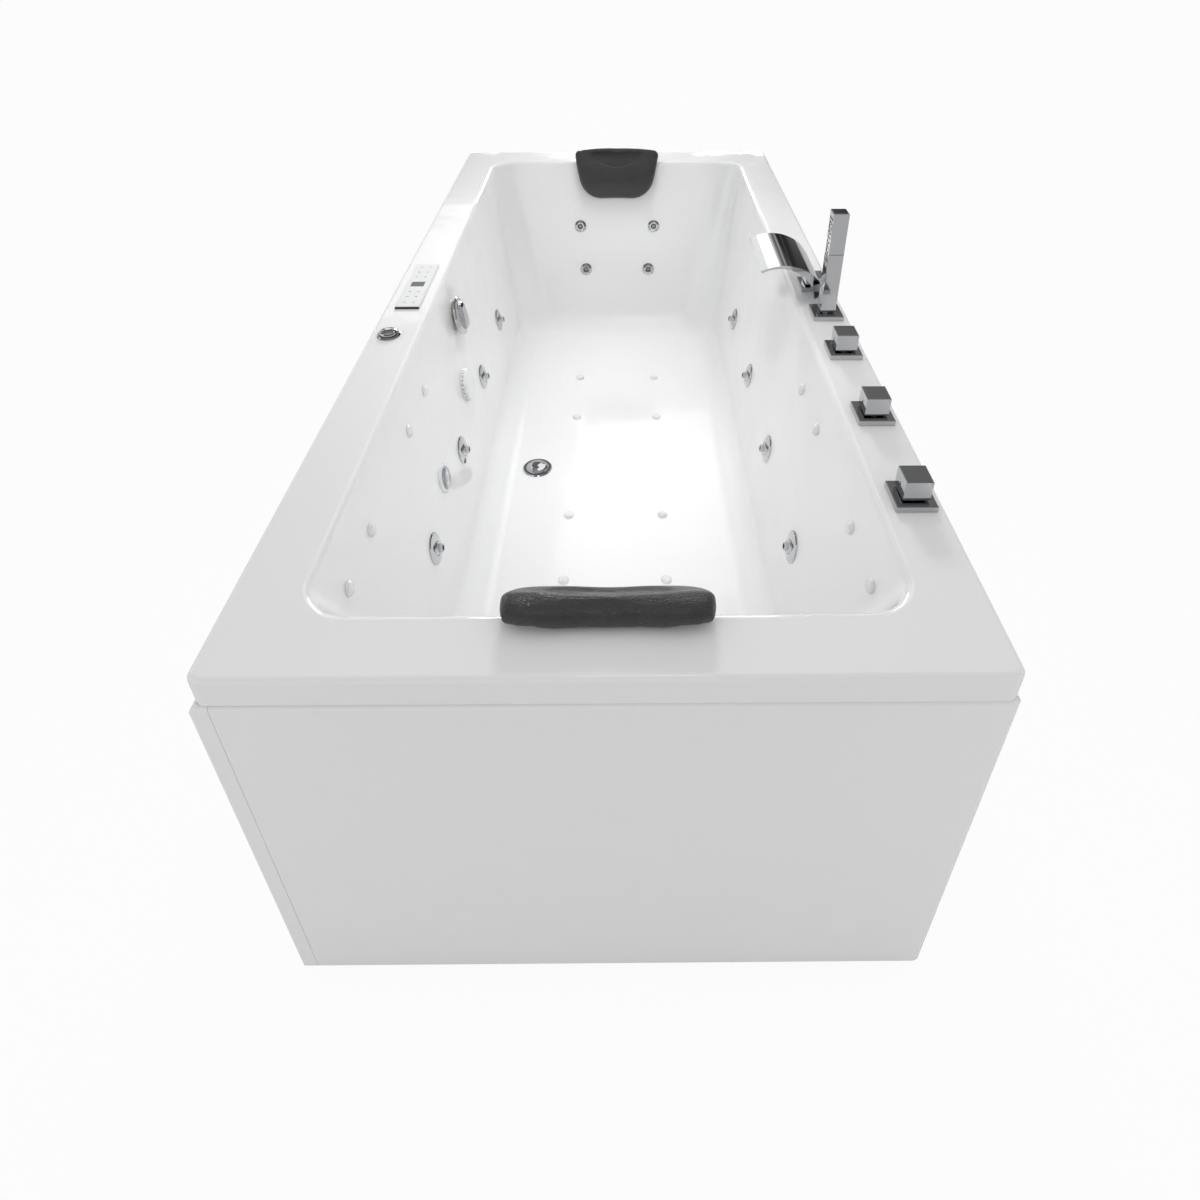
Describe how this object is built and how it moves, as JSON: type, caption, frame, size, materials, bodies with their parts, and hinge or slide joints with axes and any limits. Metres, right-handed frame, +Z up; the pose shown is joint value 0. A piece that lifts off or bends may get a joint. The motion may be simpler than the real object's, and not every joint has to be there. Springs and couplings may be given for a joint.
{
  "type": "jetted bathtub",
  "caption": "Rectangular white panelled bathtub with water and air jets, end headrests, deck-mounted taps with a blade spout and hand shower, pop-up waste, pump and blower.",
  "frame": {"origin": "centre of the tub's footprint, on the floor under the levelling feet", "axes": "+Y along the tub's length from the near headrest to the far one, +X across it towards the deck with the taps, +Z up"},
  "size_m": [0.805, 1.705, 0.765],
  "materials": {
    "acrylic": "gloss white sanitary acrylic",
    "board": "plain pressed wood board",
    "frame_steel": "galvanised square tube",
    "foot_black": "moulded black plastic with zinc-plated rod and nut",
    "catch_grey": "grey moulded clip",
    "pillow": "fine-grained dark grey soft polyurethane skin",
    "stud_black": "black push-in stud",
    "chrome": "polished chrome plate",
    "body_grey": "grey moulded body",
    "pipe_white": "white rigid plastic pipe",
    "nozzle_grey": "satin dark grey nozzle",
    "white_trim": "gloss white moulding",
    "lens": "clear domed lens",
    "display": "dark display window",
    "brass": "plain cast brass",
    "pump_black": "black pump moulding",
    "motor_paint": "grey painted motor shell",
    "blower_dark": "dark blower moulding",
    "box_grey": "light grey control box"
  },
  "bodies": {
    "tub": {"tub_shell": "acrylic", "base_board": "board", "frame_side_rails": "frame_steel", "frame_cross_rails": "frame_steel", "frame_posts": "frame_steel", "levelling_feet": "foot_black", "panel_near": "acrylic", "panel_far": "acrylic", "panel_left": "acrylic", "panel_right": "acrylic", "panel_catches": "catch_grey", "headrest_near": "pillow", "headrest_far": "pillow", "headrest_studs": "stud_black", "drain_flange": "chrome", "drain_body": "body_grey", "overflow_body": "pipe_white", "overflow_pipe": "pipe_white", "side_jet_bezels": "chrome", "side_jet_bodies": "pipe_white", "back_jet_bezels": "chrome", "back_jet_bodies": "pipe_white", "floor_air_jets": "chrome", "wall_air_jets": "chrome", "suction_cover": "white_trim", "suction_body": "pipe_white", "light_lens": "lens", "light_housing": "white_trim", "control_panel": "white_trim", "control_display": "display", "tap_bases": "chrome", "tap_manifold": "brass", "spout": "chrome", "air_control_base": "white_trim", "water_pipes": "pipe_white", "suction_pipe": "pipe_white", "air_pipes": "pipe_white", "pump_wet_end": "pump_black", "pump_motor": "motor_paint", "air_blower": "blower_dark", "control_box": "box_grey"},
    "cold": {"handle_cold": "chrome"},
    "hot": {"handle_hot": "chrome"},
    "diverter": {"handle_diverter": "chrome"},
    "shower": {"hand_shower": "chrome"},
    "waste_knob": {"overflow_knob": "chrome"},
    "plug": {"drain_plug": "chrome"},
    "air_mix": {"air_control_knob": "chrome"},
    "side_jet_left_1": {"side_nozzle_left_1": "nozzle_grey"},
    "side_jet_right_1": {"side_nozzle_right_1": "nozzle_grey"},
    "side_jet_left_2": {"side_nozzle_left_2": "nozzle_grey"},
    "side_jet_right_2": {"side_nozzle_right_2": "nozzle_grey"},
    "side_jet_left_3": {"side_nozzle_left_3": "nozzle_grey"},
    "side_jet_right_3": {"side_nozzle_right_3": "nozzle_grey"},
    "side_jet_left_4": {"side_nozzle_left_4": "nozzle_grey"},
    "side_jet_right_4": {"side_nozzle_right_4": "nozzle_grey"},
    "back_jet_1": {"back_nozzle_1": "nozzle_grey"},
    "back_jet_2": {"back_nozzle_2": "nozzle_grey"},
    "back_jet_3": {"back_nozzle_3": "nozzle_grey"},
    "back_jet_4": {"back_nozzle_4": "nozzle_grey"}
  },
  "joints": [
    {"name": "cold_turn", "type": "hinge", "parent": "tub", "child": "cold", "pos_m": [0.363, -0.594, 0.58], "axis": [0, 0, 1], "range_deg": [0, 90]},
    {"name": "hot_turn", "type": "hinge", "parent": "tub", "child": "hot", "pos_m": [0.363, -0.417, 0.58], "axis": [0, 0, 1], "range_deg": [-90, 0]},
    {"name": "diverter_turn", "type": "hinge", "parent": "tub", "child": "diverter", "pos_m": [0.363, -0.24, 0.58], "axis": [0, 0, 1], "range_deg": [0, 90]},
    {"name": "shower_lift", "type": "slide", "parent": "tub", "child": "shower", "axis": [0, 0, 1], "range_m": [0, 0.15]},
    {"name": "waste_knob_turn", "type": "hinge", "parent": "tub", "child": "waste_knob", "pos_m": [-0.30681, 0.027, 0.506], "axis": [0.9845, 0, 0.1754], "range_deg": [0, 90]},
    {"name": "plug_lift", "type": "slide", "parent": "tub", "child": "plug", "axis": [0, 0, 1], "range_m": [0, 0.012]},
    {"name": "air_mix_turn", "type": "hinge", "parent": "tub", "child": "air_mix", "pos_m": [-0.368, -0.181, 0.58], "axis": [0, 0, 1], "range_deg": [0, 180]},
    {"name": "side_left_1_tilt", "type": "hinge", "parent": "tub", "child": "side_jet_left_1", "pos_m": [-0.28045, 0.335, 0.3353], "axis": [-0.1754, 0, 0.9845], "range_deg": [-15, 15]},
    {"name": "side_right_1_tilt", "type": "hinge", "parent": "tub", "child": "side_jet_right_1", "pos_m": [0.28045, 0.335, 0.3353], "axis": [0.1754, 0, 0.9845], "range_deg": [-15, 15]},
    {"name": "side_left_2_tilt", "type": "hinge", "parent": "tub", "child": "side_jet_left_2", "pos_m": [-0.28045, 0.083, 0.3353], "axis": [-0.1754, 0, 0.9845], "range_deg": [-15, 15]},
    {"name": "side_right_2_tilt", "type": "hinge", "parent": "tub", "child": "side_jet_right_2", "pos_m": [0.28045, 0.083, 0.3353], "axis": [0.1754, 0, 0.9845], "range_deg": [-15, 15]},
    {"name": "side_left_3_tilt", "type": "hinge", "parent": "tub", "child": "side_jet_left_3", "pos_m": [-0.28045, -0.169, 0.3353], "axis": [-0.1754, 0, 0.9845], "range_deg": [-15, 15]},
    {"name": "side_right_3_tilt", "type": "hinge", "parent": "tub", "child": "side_jet_right_3", "pos_m": [0.28045, -0.169, 0.3353], "axis": [0.1754, 0, 0.9845], "range_deg": [-15, 15]},
    {"name": "side_left_4_tilt", "type": "hinge", "parent": "tub", "child": "side_jet_left_4", "pos_m": [-0.28045, -0.421, 0.3353], "axis": [-0.1754, 0, 0.9845], "range_deg": [-15, 15]},
    {"name": "side_right_4_tilt", "type": "hinge", "parent": "tub", "child": "side_jet_right_4", "pos_m": [0.28045, -0.421, 0.3353], "axis": [0.1754, 0, 0.9845], "range_deg": [-15, 15]},
    {"name": "back_1_tilt", "type": "hinge", "parent": "tub", "child": "back_jet_1", "pos_m": [-0.097, 0.69674, 0.42552], "axis": [0, 0.3702, 0.929], "range_deg": [-12, 12]},
    {"name": "back_2_tilt", "type": "hinge", "parent": "tub", "child": "back_jet_2", "pos_m": [0.097, 0.69674, 0.42552], "axis": [0, 0.3702, 0.929], "range_deg": [-12, 12]},
    {"name": "back_3_tilt", "type": "hinge", "parent": "tub", "child": "back_jet_3", "pos_m": [-0.083, 0.6549, 0.32052], "axis": [0, 0.3702, 0.929], "range_deg": [-12, 12]},
    {"name": "back_4_tilt", "type": "hinge", "parent": "tub", "child": "back_jet_4", "pos_m": [0.083, 0.6549, 0.32052], "axis": [0, 0.3702, 0.929], "range_deg": [-12, 12]}
  ],
  "couplings": [
    {"joint": "plug_lift", "follows": "waste_knob_turn", "m_per_rad": 0.0076}
  ]
}
